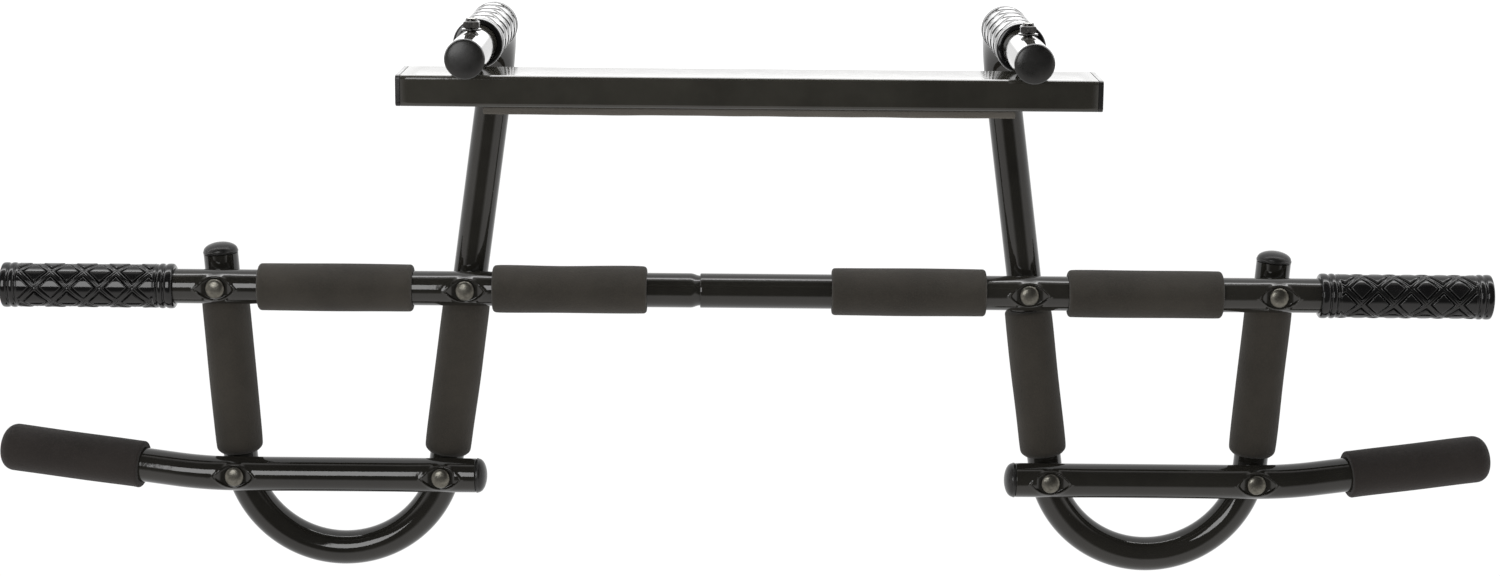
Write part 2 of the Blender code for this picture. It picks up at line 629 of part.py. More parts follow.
# ---------------------------------------------------------------- assembly
for tag, s in SIDES:
    spots = crossings(s)
    frame_tube(tag, s, spots)
    domed_plug("leg_plug_" + tag, leg_point(True, OUTER_TOP_Y, s), (s * OUTER_LEAN, 1, 0))
    flat_plug("arm_plug_" + tag, (s * ARM_X, ARM_AXIS_Y, FRAME_Z + ARM_TOP), UP)
    leg_foams(tag, s)
    arm_grip(tag, s)
    main_bar(tag, s, spots)
    end_grip(tag, s)
    bar_foams(tag, s)
    lower_bar(tag, s, spots)
    crossing_fasteners(tag, spots)
    beam_fasteners(tag, s)
    beam_plug(tag, s)
door_beam()
wall_pad()
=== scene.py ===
import math
import random

import bmesh
import bpy
import numpy as np
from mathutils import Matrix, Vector


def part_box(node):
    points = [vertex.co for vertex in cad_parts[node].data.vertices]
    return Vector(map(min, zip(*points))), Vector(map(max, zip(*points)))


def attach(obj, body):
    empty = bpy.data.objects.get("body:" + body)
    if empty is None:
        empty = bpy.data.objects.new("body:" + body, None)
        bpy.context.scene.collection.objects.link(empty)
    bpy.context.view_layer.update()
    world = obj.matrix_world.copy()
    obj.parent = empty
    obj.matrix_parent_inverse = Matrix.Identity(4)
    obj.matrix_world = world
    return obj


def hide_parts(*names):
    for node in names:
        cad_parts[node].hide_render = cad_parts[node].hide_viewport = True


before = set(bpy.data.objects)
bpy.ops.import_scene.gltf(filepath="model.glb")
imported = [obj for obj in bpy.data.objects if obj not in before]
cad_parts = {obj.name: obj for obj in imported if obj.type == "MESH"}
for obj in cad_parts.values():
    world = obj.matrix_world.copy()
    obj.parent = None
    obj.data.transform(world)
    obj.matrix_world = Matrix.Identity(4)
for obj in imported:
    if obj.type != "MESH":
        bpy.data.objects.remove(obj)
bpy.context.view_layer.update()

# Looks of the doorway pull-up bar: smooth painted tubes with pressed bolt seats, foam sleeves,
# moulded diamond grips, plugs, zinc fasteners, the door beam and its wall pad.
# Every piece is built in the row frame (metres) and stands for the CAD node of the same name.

MM = 0.001
GAP = 0.3 * MM
SIDES = (("left", -1), ("right", 1))
CROSSINGS = ("main_outer", "main_inner", "lower_outer", "lower_inner")
UP = Vector((0, 0, 1))


# ================================================================ sizes
def middle(node):
    low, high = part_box(node)
    return (low + high) / 2


def extent(node):
    low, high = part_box(node)
    return high - low


# read from the frame
TUBE_R = extent("main_bar_right").z / 2
BAR_Y = middle("main_bar_right").y
BAR_Z = middle("main_bar_right").z
FOAM_R = extent("bar_foam_side_right").z / 2
FRAME_Z = FOAM_R                                # the frame tube's foams rest on the floor
RING_R = extent("end_grip_right").z / 2
GRIP_L = extent("end_grip_right").x
INNER_X = middle("bolt_main_inner_right").x
OUTER_X = middle("bolt_main_outer_right").x
ARM_X = middle("arm_grip_right").x
ARM_Y = middle("arm_grip_right").y
ARM_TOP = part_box("frame_tube_right")[1].z
LOWER_Y = middle("bolt_lower_inner_right").y
BEAM_Z = middle("door_beam").z
SEAM_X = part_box("main_bar_right")[0].x          # mouth of the right half of the main bar

# shared with the CAD part
BORE_R = 11.25 * MM
BORE_DEPTH = 15.0 * MM
SPIGOT_R = 10.9 * MM
SPIGOT_L = 60.0 * MM
SHOULDER_L = 7.0 * MM                           # swaged taper beside the seam
INNER_LEAN = (INNER_X - ARM_X) / (ARM_Y - BAR_Y)
OUTER_LEAN = 0.070
U_CENTRE = BAR_Y - 126.0 * MM                   # centre of the U-bend along Y
OUTER_END = BAR_Y + 20.0 * MM                   # open end of the outer leg
ARM_BEND_R = 65.0 * MM
LOWER_IN_X = 197.5 * MM
LOWER_BEND_X = 395.0 * MM
LOWER_TIP_X = 547.5 * MM
LOWER_DROP = 22.0 * MM
LOWER_SWEEP = 14.0 * MM
LOWER_BEND_R = 270.0 * MM
LOWER_FOAM_L = 106.5 * MM
TIP_WALL = 4.5 * MM                             # foam beyond the end of the lower bar
SEAT_DEPTH = 3.8 * MM                           # pressed seats under bolt heads and nuts
SEAT_FLAT = 7.6 * MM                            # level to this distance from the bolt
SEAT_HALF = 14.4 * MM                           # half the length of a bolt seat
NUT_SEAT_HALF = 12.0 * MM                       # half the length of a nut seat
SEAT_WIDE = 8.1 * MM                            # half width of the eye-shaped seat
SLEEVE_R = TUBE_R + GAP                         # bore of every sleeve

# fine form of the pressed seats
SEAT_CURVE = 1.9                                # how suddenly the level part turns up
SEAT_ROUND = 0.8 * MM                           # run of the steep sides
SEAT_RIM = 0.45 * MM                            # the metal swells this much beside the seat
SEAT_RIM_WIDE = 1.2 * MM
SEAT_RIM_OUT = 0.7                              # crest of the swelling, in rim widths outside
SEAT_SINK = 0.7 * MM                            # the wall round the seat is drawn in this much
SINK_RUN = 13.0 * MM                            # the drawing in fades over this distance
SEAT_REACH = 30.0 * MM                          # and is gone at this distance from the bolt

# mesh fineness: points round a piece, and steps along it
BAR_SEGS = 192
FRAME_SEGS = 72
FOAM_SEGS = 96
GRIP_SEGS = 272
SMALL_SEGS = 64
PLUG_SEGS = 72
FINE_STEP = 0.6 * MM
PLAIN_STEP = 14.0 * MM
U_STEP = 1.6 * MM
ARM_BEND_STEP = 3.0 * MM
FOAM_STEP = 1.6 * MM
GRIP_STEP = 0.36 * MM


# ================================================================ mesh helpers
def finished(name, points, faces, material, sharp):
    """One closed mesh piece that rides the frame and stands for the CAD node of its name. Edges
    that turn by more than sharp degrees stay crisp."""
    mesh = bpy.data.meshes.new(name)
    mesh.from_pydata(points, [], faces)
    bm = bmesh.new()
    bm.from_mesh(mesh)
    bmesh.ops.recalc_face_normals(bm, faces=bm.faces)
    bm.to_mesh(mesh)
    bm.free()
    mesh.polygons.foreach_set("use_smooth", [True] * len(mesh.polygons))
    mesh.set_sharp_from_angle(angle=math.radians(sharp))
    mesh.materials.append(material)
    piece = bpy.data.objects.new(name, mesh)
    bpy.context.scene.collection.objects.link(piece)
    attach(piece, "root")
    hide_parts(name)
    return piece


def skin(rings, joined=False):
    """Points and faces of a surface through rings of points. A joined one closes on itself;
    any other gets a flat cap at each end."""
    rings = np.asarray(rings, float)
    count, segs = rings.shape[:2]
    index = np.arange(count * segs).reshape(count, segs)
    rows = np.vstack((index, index[:1])) if joined else index
    here, there = rows[:-1], rows[1:]
    quads = np.stack((here, np.roll(here, -1, 1), np.roll(there, -1, 1), there), -1)
    faces = quads.reshape(-1, 4).tolist()
    if not joined:
        faces += [index[0][::-1].tolist(), index[-1].tolist()]
    return rings.reshape(-1, 3).tolist(), faces


def axes(direction):
    """Two unit vectors across a direction, and the direction itself."""
    along = Vector(direction).normalized()
    upright = abs(along.z) > 0.98
    side = (Vector((0, 1, 0)) if upright else UP).cross(along).normalized()
    return side, along.cross(side), along


def turned(profile, origin, direction, segs, relief=None):
    """Rings of a (radius, height) profile turned about a line. relief(height, angle) adds to
    the radius."""
    side, lift, along = (np.array(v) for v in axes(direction))
    radius, height = np.array(profile).T[:, :, None]
    angle = np.arange(segs)[None, :] * 2 * math.pi / segs
    if relief is not None:
        radius = radius + relief(height, angle)
    reach = radius[..., None] * (np.cos(angle)[..., None] * side + np.sin(angle)[..., None] * lift)
    return np.array(origin) + reach + height[..., None] * along


def round_corner(centre_r, centre_h, radius, start, end, steps=6):
    """Points of an arc in a profile or an outline, angles in degrees."""
    turns = np.radians(np.linspace(start, end, steps + 1))
    return [(centre_r + radius * math.cos(a), centre_h + radius * math.sin(a)) for a in turns]


def dense(profile, step):
    """The same profile with points no further apart than step."""
    out = [profile[0]]
    for a, b in zip(profile, profile[1:]):
        parts = max(1, math.ceil(math.dist(a, b) / step))
        out += [tuple(np.array(a) + (np.array(b) - a) * k / parts) for k in range(1, parts + 1)]
    return out


def smooth_step(value, start, end):
    """0 up to start, 1 from end on, and a smooth rise between."""
    t = np.clip((value - start) / (end - start), 0, 1)
    return t * t * (3 - 2 * t)


def wobble(seed, size, waves=7):
    """A gentle irregular relief for foam: a sum of slow waves along and around a sleeve."""
    pick = random.Random(seed)
    terms = [(pick.uniform(20, 90), pick.randint(0, 4), pick.uniform(0, 6.3)) for _ in range(waves)]

    def relief(height, angle):
        total = 0
        for per_metre, around, phase in terms:
            total = total + np.sin(height * per_metre + angle * around + phase)
        return size * total / math.sqrt(waves)
    return relief


class Path:
    """Centre line of straight runs and arcs, kept as points with unit tangents."""

    def __init__(self, start):
        self.points = [Vector(start)]
        self.tangents = []

    def line(self, end, fine=()):
        """A straight run, with close rings around each of the points in fine."""
        start = self.points[-1].copy()
        end = Vector(end)
        along = (end - start).normalized()
        length = (end - start).length
        stops = set(np.arange(PLAIN_STEP, length - PLAIN_STEP / 2, PLAIN_STEP))
        for spot in fine:
            at = (Vector(spot) - start).dot(along)
            stops |= set(at + np.arange(-SEAT_REACH, SEAT_REACH, FINE_STEP))
        closest = FINE_STEP / 3
        stops = sorted(stop for stop in stops if closest < stop < length - closest)
        if not self.tangents:
            self.tangents.append(along)
        last = 0.0
        for stop in stops:
            if stop - last > closest:
                self.points.append(start + along * stop)
                self.tangents.append(along)
                last = stop
        self.points.append(end)
        self.tangents.append(along)

    def arc(self, centre, normal, angle, step):
        """Turn by angle about the line through centre along normal."""
        normal = Vector(normal).normalized()
        spoke = self.points[-1] - Vector(centre)
        parts = math.ceil(angle * spoke.length / step)
        for k in range(1, parts + 1):
            a = angle * k / parts
            turned_spoke = spoke * math.cos(a) + normal.cross(spoke) * math.sin(a)
            self.points.append(Vector(centre) + turned_spoke)
            self.tangents.append(normal.cross(turned_spoke).normalized())


def pressed(ring, point, centre, facing, half):
    """One tube ring, relative to its own centre, after a bolt seat is pressed into the wall: an
    eye-shaped pocket, level round the bolt and rising to its corners along the tube, with the
    wall drawn in a little round about."""
    away = (point - centre).length
    if away > SEAT_REACH:
        return ring
    facing = np.array(facing)
    height = ring @ facing
    near_side = height > 0
    across = np.sqrt(np.maximum(TUBE_R ** 2 - height ** 2, 0))
    wide = SEAT_WIDE * (1 - (away / half) ** 2)
    sink = SEAT_SINK * math.exp(-(away / SINK_RUN) ** 2) * np.clip(height / TUBE_R, 0, 1) ** 1.5
    rim = SEAT_RIM * np.exp(-((across - wide) / SEAT_RIM_WIDE - SEAT_RIM_OUT) ** 2) * near_side
    rise = max(0.0, away - SEAT_FLAT) / (half - SEAT_FLAT)
    level = TUBE_R - SEAT_DEPTH * (1 - min(rise, 1.0) ** SEAT_CURVE)
    inside = np.clip((wide - across) / SEAT_ROUND + 0.5, 0, 1) * near_side
    drop = sink - rim + inside * np.maximum(height - sink + rim - level, 0)
    return ring - np.outer(drop, facing)


def swept(path, seats, segs):
    """Rings of a round tube along a path. Each seat is (point on the axis, facing, half length)."""
    rings = []
    side = UP
    angle = np.arange(segs) * 2 * math.pi / segs
    for point, along in zip(path.points, path.tangents):
        side = (side - along * side.dot(along)).normalized()
        lift = along.cross(side)
        ring = (np.outer(np.cos(angle), side) + np.outer(np.sin(angle), lift)) * TUBE_R
        for seat in seats:
            ring = pressed(ring, point, *seat)
        rings.append(np.array(point) + ring)
    return rings


def bored(rings, path, depth, both):
    """Tube rings with open, blind sockets and chamfered mouths: at the first end, or at both."""
    def socket(end, sign):
        centre = np.array(path.points[end])
        inward = np.array(path.tangents[end]) * sign
        spokes = (rings[end] - centre) / TUBE_R
        edge = centre + spokes * TUBE_R + inward * 0.4 * MM
        mouth = centre + spokes * (TUBE_R - 0.45 * MM)
        bore = centre + spokes * BORE_R
        return [edge, mouth, bore, bore + inward * depth]

    out = socket(0, 1)[::-1] + rings[1:]
    if both:
        out = out[:-1] + socket(-1, -1)
    return out


# ================================================================ materials
class Shader:
    """Short names for one material's nodes. Textures run in row-frame metres."""

    def __init__(self, name):
        self.material = bpy.data.materials.new(name)
        self.material.use_nodes = True
        self.nodes = self.material.node_tree.nodes
        self.links = self.material.node_tree.links
        self.surface = self.nodes["Principled BSDF"]
        self.place = self.nodes.new("ShaderNodeTexCoord").outputs["Object"]

    def wire(self, source, target):
        """Link an output to a socket, or write a constant on it."""
        if isinstance(source, bpy.types.NodeSocket):
            self.links.new(source, target)
        else:
            target.default_value = source

    def set(self, **values):
        for key, value in values.items():
            self.wire(value, self.surface.inputs[key.replace("_", " ")])

    def stretched(self, scale):
        """The texture's place, scaled along each axis."""
        node = self.nodes.new("ShaderNodeMapping")
        node.inputs["Scale"].default_value = scale
        self.links.new(self.place, node.inputs["Vector"])
        return node.outputs["Vector"]

    def noise(self, per_metre, detail=3.0, roughness=0.55, place=None):
        node = self.nodes.new("ShaderNodeTexNoise")
        node.inputs["Scale"].default_value = per_metre
        node.inputs["Detail"].default_value = detail
        node.inputs["Roughness"].default_value = roughness
        self.links.new(place or self.place, node.inputs["Vector"])
        return node.outputs["Fac"]

    def cells(self, per_metre):
        node = self.nodes.new("ShaderNodeTexVoronoi")
        node.inputs["Scale"].default_value = per_metre
        self.links.new(self.place, node.inputs["Vector"])
        return node

    def between(self, value, start, end, low=0.0, high=1.0):
        """value from start to end becomes low to high, and stays there beyond."""
        node = self.nodes.new("ShaderNodeMapRange")
        ends = {"From Min": start, "From Max": end, "To Min": low, "To Max": high}
        for key, number in ends.items():
            node.inputs[key].default_value = number
        self.links.new(value, node.inputs["Value"])
        return node.outputs["Result"]

    def combined(self, operation, a, b, clamped=False):
        node = self.nodes.new("ShaderNodeMath")
        node.operation = operation
        node.use_clamp = clamped
        self.wire(a, node.inputs[0])
        self.wire(b, node.inputs[1])
        return node.outputs[0]

    def sum(self, a, b):
        return self.combined("ADD", a, b)

    def product(self, a, b):
        return self.combined("MULTIPLY", a, b, clamped=True)

    def blend(self, share, first, second):
        """From the first colour to the second as share goes from 0 to 1."""
        node = self.nodes.new("ShaderNodeMix")
        node.data_type = "RGBA"
        self.wire(share, node.inputs["Factor"])
        for value, socket in ((first, node.inputs[6]), (second, node.inputs[7])):
            self.wire((*value, 1.0) if isinstance(value, tuple) else value, socket)
        return node.outputs[2]

    def specks(self, per_metre, radius, share):
        """Mask of small round spots: radius in metres, in that share of the cells."""
        node = self.cells(per_metre)
        spot = self.between(node.outputs["Distance"], radius * per_metre, radius * per_metre * 0.4)
        chosen = self.nodes.new("ShaderNodeSeparateColor")
        self.links.new(node.outputs["Color"], chosen.inputs["Color"])
        some = self.between(chosen.outputs["Red"], share, share * 0.98)
        return self.product(spot, some)

    def bump(self, *layers):
        """Stacked bumps, each (height, distance in metres)."""
        normal = None
        for height, distance in layers:
            node = self.nodes.new("ShaderNodeBump")
            node.inputs["Distance"].default_value = distance
            self.links.new(height, node.inputs["Height"])
            if normal is not None:
                self.links.new(normal, node.inputs["Normal"])
            normal = node.outputs["Normal"]
        self.links.new(normal, self.surface.inputs["Normal"])


def gloss_paint(name, tint):
    """Stoved gloss black: orange peel, faint haze, and the odd dust nib under the coat."""
    look = Shader(name)
    haze = look.noise(9.0, 5.0, 0.65)
    smear = look.noise(70.0, 3.0, 0.6)
    nibs = look.specks(75.0, 0.28 * MM, 0.30)
    dust = look.specks(210.0, 0.13 * MM, 0.35)
    lighter = tuple(c * 1.9 + 0.002 for c in tint)
    base = look.blend(look.between(haze, 0.35, 0.75), tint, lighter)
    base = look.blend(look.product(dust, 0.35), base, (0.13, 0.125, 0.11))
    base = look.blend(look.product(nibs, 0.6), base, (0.20, 0.19, 0.17))
    gloss = look.between(smear, 0.3, 0.75, 0.04, 0.10)
    gloss = look.sum(gloss, look.between(nibs, 0.0, 1.0, 0.0, 0.3))
    look.set(Base_Color=base, Roughness=gloss, IOR=1.5)
    peel, ripple = look.noise(260.0, 2.0), look.noise(900.0, 2.0)
    look.bump((peel, 0.030 * MM), (ripple, 0.008 * MM), (nibs, 0.08 * MM))
    return look.material


def sleeve_foam(name, tint):
    """Closed-cell foam with a skived skin: fine cells, pale specks, slow patches of tone."""
    look = Shader(name)
    patch = look.noise(22.0, 4.0, 0.6)
    grain = look.noise(1100.0, 3.0, 0.7)
    pores = look.cells(800.0)
    flecks = look.specks(330.0, 0.24 * MM, 0.30)
    lint = look.specks(60.0, 0.32 * MM, 0.35)
    dark = tuple(c * 0.72 for c in tint)
    light = tuple(c * 1.22 for c in tint)
    base = look.blend(look.between(patch, 0.32, 0.7), dark, light)
    base = look.blend(look.between(grain, 0.38, 0.72, 0.0, 0.55), base, tuple(c * 1.75 for c in tint))
    base = look.blend(look.product(flecks, 0.30), base, tuple(c * 3.0 for c in tint))
    base = look.blend(look.product(lint, 0.55), base, tuple(min(1.0, c * 6.5) for c in tint))
    look.set(Base_Color=base, Roughness=look.between(grain, 0.3, 0.7, 0.86, 0.98))
    look.set(Specular_IOR_Level=0.25, Sheen_Weight=0.06, Sheen_Roughness=0.6)
    waves = look.noise(120.0, 3.0)
    look.bump((waves, 0.10 * MM), (pores.outputs["Distance"], 0.12 * MM), (grain, 0.09 * MM))
    return look.material


def moulded_rubber(name):
    """Satin moulded rubber with a fine spark-eroded grain and a little talc haze."""
    look = Shader(name)
    haze = look.noise(35.0, 4.0, 0.6)
    grain = look.noise(1500.0, 2.0, 0.6)
    dust = look.specks(260.0, 0.12 * MM, 0.25)
    base = look.blend(look.between(haze, 0.35, 0.7), (0.0030, 0.0030, 0.0032), (0.0060, 0.0060, 0.0060))
    base = look.blend(look.product(dust, 0.4), base, (0.12, 0.12, 0.115))
    look.set(Base_Color=base, Roughness=look.between(haze, 0.3, 0.7, 0.07, 0.11), IOR=1.46)
    look.bump((grain, 0.012 * MM))
    return look.material


def moulded_plastic(name):
    """Satin polyethylene: soft mottle, light handling scuffs, fine grain."""
    look = Shader(name)
    mottle = look.noise(90.0, 4.0, 0.6)
    scuff = look.noise(240.0, 4.0, 0.7, look.stretched((1.0, 0.12, 1.0)))
    base = look.blend(look.between(mottle, 0.3, 0.7), (0.0045, 0.0045, 0.0042), (0.009, 0.0087, 0.0082))
    base = look.blend(look.between(scuff, 0.62, 0.75, 0.0, 0.5), base, (0.05, 0.05, 0.048))
    look.set(Base_Color=base, Roughness=look.between(mottle, 0.3, 0.7, 0.26, 0.36))
    look.set(Specular_IOR_Level=0.4)
    look.bump((look.noise(1300.0, 2.0), 0.02 * MM), (scuff, 0.03 * MM))
    return look.material


def zinc_steel(name):
    """Dull zinc plate: mottled grey, darker in pits, slightly rough."""
    look = Shader(name)
    mottle = look.noise(420.0, 4.0, 0.65)
    pits = look.cells(1500.0)
    stain = look.noise(110.0, 3.0, 0.6)
    base = look.blend(look.between(mottle, 0.3, 0.7), (0.095, 0.091, 0.078), (0.19, 0.183, 0.158))
    base = look.blend(look.between(stain, 0.45, 0.75, 0.0, 0.45), base, (0.06, 0.057, 0.050))
    look.set(Base_Color=base, Metallic=1.0, Roughness=look.between(mottle, 0.3, 0.7, 0.38, 0.29))
    look.bump((mottle, 0.04 * MM), (pits.outputs["Distance"], 0.03 * MM))
    return look.material


def black_zinc(name):
    """Black passivated lock nuts and washers, glossy with thin spots on the corners."""
    look = Shader(name)
    mottle = look.noise(500.0, 3.0, 0.6)
    base = look.blend(look.between(mottle, 0.35, 0.7), (0.02, 0.02, 0.02), (0.06, 0.058, 0.055))
    look.set(Base_Color=base, Metallic=0.85, Roughness=look.between(mottle, 0.3, 0.7, 0.16, 0.30))
    look.bump((mottle, 0.03 * MM))
    return look.material


def eva_pad(name):
    """Die-cut EVA strip: dense fine cells and a faint lengthwise drag."""
    look = Shader(name)
    drag = look.noise(160.0, 4.0, 0.6, look.stretched((0.08, 1.0, 1.0)))
    grain = look.noise(1400.0, 3.0, 0.7)
    base = look.blend(look.between(drag, 0.3, 0.7), (0.045, 0.041, 0.035), (0.075, 0.069, 0.060))
    base = look.blend(look.between(grain, 0.4, 0.7, 0.0, 0.4), base, (0.13, 0.12, 0.105))
    look.set(Base_Color=base, Roughness=look.between(grain, 0.3, 0.7, 0.80, 0.95))
    look.set(Specular_IOR_Level=0.3)
    look.bump((grain, 0.06 * MM), (drag, 0.05 * MM))
    return look.material


PAINT = gloss_paint("gloss_black_paint", (0.0078, 0.0073, 0.0060))
BEAM_PAINT = gloss_paint("beam_black_paint", (0.0150, 0.0142, 0.0116))
BAR_FOAM = sleeve_foam("charcoal_foam", (0.0232, 0.0205, 0.0166))
LOWER_FOAM = sleeve_foam("charcoal_foam_deep", (0.0148, 0.0122, 0.0108))
RUBBER = moulded_rubber("black_rubber")
PLASTIC = moulded_plastic("black_plastic")
STEEL = zinc_steel("zinc_steel")
DARK_STEEL = black_zinc("black_zinc")
PAD = eva_pad("eva_pad")


# ================================================================ tubes
def outer_leg_x(y):
    """Distance of the outer leg's axis from the middle plane, at a place along Y."""
    return OUTER_X + OUTER_LEAN * (y - BAR_Y)


def inner_leg_x(y):
    return INNER_X - INNER_LEAN * (y - BAR_Y)


IN_ANGLE = math.atan(INNER_LEAN)
OUT_ANGLE = math.atan(OUTER_LEAN)
# the U-bend is the circle that touches both leaning legs
LEGS_APART = outer_leg_x(U_CENTRE) - inner_leg_x(U_CENTRE)
U_R = LEGS_APART / (1 / math.cos(IN_ANGLE) + 1 / math.cos(OUT_ANGLE))
U_MID_X = inner_leg_x(U_CENTRE) + U_R / math.cos(IN_ANGLE)


def crossing(key, tag, z):
    """Bolt axis at one crossing of a bar and a frame tube, at height z."""
    at = middle("bolt_%s_%s" % (key, tag))
    return Vector((at.x, at.y, z))


def frame_tube(tag, sign):
    """Outer leg, U-bend, inner leg and upright arm of one bent tube."""
    centre = Vector((sign * U_MID_X, U_CENTRE, FRAME_Z))
    start = Vector((sign * outer_leg_x(OUTER_END), OUTER_END, FRAME_Z))
    touch_out = centre + Vector((sign * math.cos(OUT_ANGLE), -math.sin(OUT_ANGLE), 0)) * U_R
    inner_way = Vector((-sign * math.sin(IN_ANGLE), math.cos(IN_ANGLE), 0))
    arm = Vector((sign * ARM_X, ARM_Y, FRAME_Z))
    foot = arm - inner_way * ARM_BEND_R
    spots = {key: crossing(key, tag, FRAME_Z) for key in CROSSINGS}

    path = Path(start)
    path.line(touch_out, [spots["main_outer"]])
    path.arc(centre, (0, 0, -sign), math.pi - IN_ANGLE - OUT_ANGLE, U_STEP)
    path.line(foot, [spots["main_inner"]])
    path.arc(foot + UP * ARM_BEND_R, inner_way.cross(UP), math.pi / 2, ARM_BEND_STEP)
    path.line((arm.x, arm.y, ARM_TOP))
    seats = [(spot, -UP, NUT_SEAT_HALF) for spot in spots.values()]
    rings = bored(swept(path, seats, FRAME_SEGS), path, BORE_DEPTH, both=True)
    finished("frame_tube_" + tag, *skin(rings), PAINT, sharp=35.0)


def main_bar(tag, sign):
    """One half of the main bar. The left half is necked down and slides into the right one."""
    bar_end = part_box("main_bar_right")[1].x
    spots = [crossing(key, tag, BAR_Z) for key in ("main_outer", "main_inner")]
    path = Path((sign * bar_end, BAR_Y, BAR_Z))
    shoulder = SEAM_X - SHOULDER_L if sign < 0 else SEAM_X
    path.line((shoulder, BAR_Y, BAR_Z), spots)
    rings = swept(path, [(spot, UP, SEAT_HALF) for spot in spots], BAR_SEGS)
    rings = bored(rings, path, 2 * BORE_DEPTH, both=False)
    rings = rings + neck(shoulder) if sign < 0 else rings[:-1] + mouth_of_bar()
    finished("main_bar_" + tag, *skin(rings), PAINT, sharp=50.0)


def bar_ring(x, radius, sign):
    """Ring about the main bar's axis, in step with the rings of the sweep on that side."""
    angle = np.arange(BAR_SEGS) * 2 * math.pi / BAR_SEGS
    ring = np.zeros((BAR_SEGS, 3))
    ring[:, 0] = x
    ring[:, 1] = BAR_Y + sign * radius * np.sin(angle)
    ring[:, 2] = BAR_Z + radius * np.cos(angle)
    return ring


def neck(shoulder):
    """Rounded swage and chamfered spigot of the left half."""
    steps = 12
    chamfer = 0.8 * MM
    rings = []
    for t in np.arange(1, steps + 1) / steps:
        drop = (TUBE_R - SPIGOT_R) * (1 - math.cos(math.pi * t)) / 2
        rings.append(bar_ring(shoulder + SHOULDER_L * t, TUBE_R - drop, -1))
    tip = SEAM_X + SPIGOT_L
    return rings + [bar_ring(tip - chamfer, SPIGOT_R, -1), bar_ring(tip, SPIGOT_R - chamfer, -1)]


def mouth_of_bar():
    """Square-cut mouth of the right half, its edge broken, with the socket behind it."""
    broken = 0.5 * MM
    nick = 0.15 * MM
    socket = SPIGOT_L + 5 * MM
    section = [(1.6 * MM, TUBE_R), (broken, TUBE_R), (nick, TUBE_R - nick), (0.0, TUBE_R - broken),
               (0.0, BORE_R), (socket, BORE_R)]
    return [bar_ring(SEAM_X + inward, radius, 1) for inward, radius in section]


def lower_layout(tag, sign):
    """Centre line of a lower bar and the places of its two bolts."""
    turn = math.atan2(math.hypot(LOWER_DROP, LOWER_SWEEP), LOWER_TIP_X - LOWER_BEND_X)
    way = Vector((0, LOWER_SWEEP, -LOWER_DROP)).normalized()
    half = LOWER_BEND_R * math.tan(turn / 2)
    path = Path((sign * LOWER_IN_X, LOWER_Y, BAR_Z))
    spots = [crossing(key, tag, BAR_Z) for key in ("lower_inner", "lower_outer")]
    bend = Vector((sign * (LOWER_BEND_X - half), LOWER_Y, BAR_Z))
    path.line(bend, spots)
    path.arc(bend + way * LOWER_BEND_R, Vector((sign, 0, 0)).cross(way), turn, FINE_STEP)
    along = path.tangents[-1]
    reach = (LOWER_TIP_X - abs(path.points[-1].x)) / abs(along.x)
    path.line(path.points[-1] + along * (reach - TIP_WALL), [spots[1]])
    return path, spots


def lower_bar(tag, sign):
    """Short bar over the U-bend. Returns the tip of its tube and the direction of that end."""
    path, spots = lower_layout(tag, sign)
    rings = swept(path, [(spot, UP, SEAT_HALF) for spot in spots], BAR_SEGS)
    rings = bored(rings, path, BORE_DEPTH, both=False)
    finished("lower_bar_" + tag, *skin(rings), PAINT, sharp=50.0)
    return path.points[-1], path.tangents[-1]


# ================================================================ foam sleeves
FOAM_WAVE = 0.16 * MM                           # slow unevenness of every sleeve
FOAM_EDGE = 6.0 * MM                            # where it fades, near an end
PINCH_RUN = 4.0 * MM                            # length of the waist at an end
CUT_CORNER = 2.4 * MM                           # rounding of a plainly cut end
DRAWN_CORNER = 4.5 * MM                         # rounding of the end toward the U-bend
BAR_PINCH = 0.25 * MM                           # depth of the waist
LEG_PINCH = (0.9 * MM, 0.5 * MM)                # at the U-bend and at the bar


def sleeve_profile(length, first, last):
    """Section of an open foam tube; first and last are the corner radii of its two ends."""
    first_corner = round_corner(FOAM_R - first, first, first, -90, 0)
    last_corner = round_corner(FOAM_R - last, length - last, last, 0, 90)
    return [(SLEEVE_R, 0.0)] + first_corner + last_corner + [(SLEEVE_R, length)]


def on_skin(profile):
    """1 on the outer skin of a sleeve and 0 in its bore, for each point of its profile."""
    radius = np.array(profile)[:, 0][:, None]
    return smooth_step(radius, SLEEVE_R + 1 * MM, FOAM_R - 1.5 * MM)


def foam_relief(seed, length, pinch_first, pinch_last):
    """Slow waves, and a shallow waist at each end."""
    waves = wobble(seed, FOAM_WAVE)

    def relief(height, angle):
        from_last = length - height
        inner = smooth_step(height, 0, FOAM_EDGE) * smooth_step(from_last, 0, FOAM_EDGE)
        pinch = pinch_first * np.exp(-height / PINCH_RUN) + pinch_last * np.exp(-from_last / PINCH_RUN)
        return waves(height, angle) * inner - pinch
    return relief


def open_foam(name, start, end, corners, pinches, seed):
    """Sleeve open at both ends, with the corner radius and the pinch of each."""
    along = end - start
    profile = dense(sleeve_profile(along.length, *corners), FOAM_STEP)
    uneven = foam_relief(seed, along.length, *pinches)

    def relief(height, angle):
        return uneven(height, angle) * on_skin(profile)
    rings = turned(profile, start, along, FOAM_SEGS, relief)
    piece = finished(name, *skin(rings, joined=True), BAR_FOAM, sharp=60.0)


def bar_foams(tag, sign):
    """The two sleeves on one half of the main bar."""
    for where, seed in (("centre", 11), ("side", 13)):
        node = "bar_foam_%s_%s" % (where, tag)
        low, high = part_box(node)
        start, end = Vector((low.x, BAR_Y, BAR_Z)), Vector((high.x, BAR_Y, BAR_Z))
        open_foam(node, start, end, (CUT_CORNER, CUT_CORNER), (BAR_PINCH, BAR_PINCH), seed + sign)


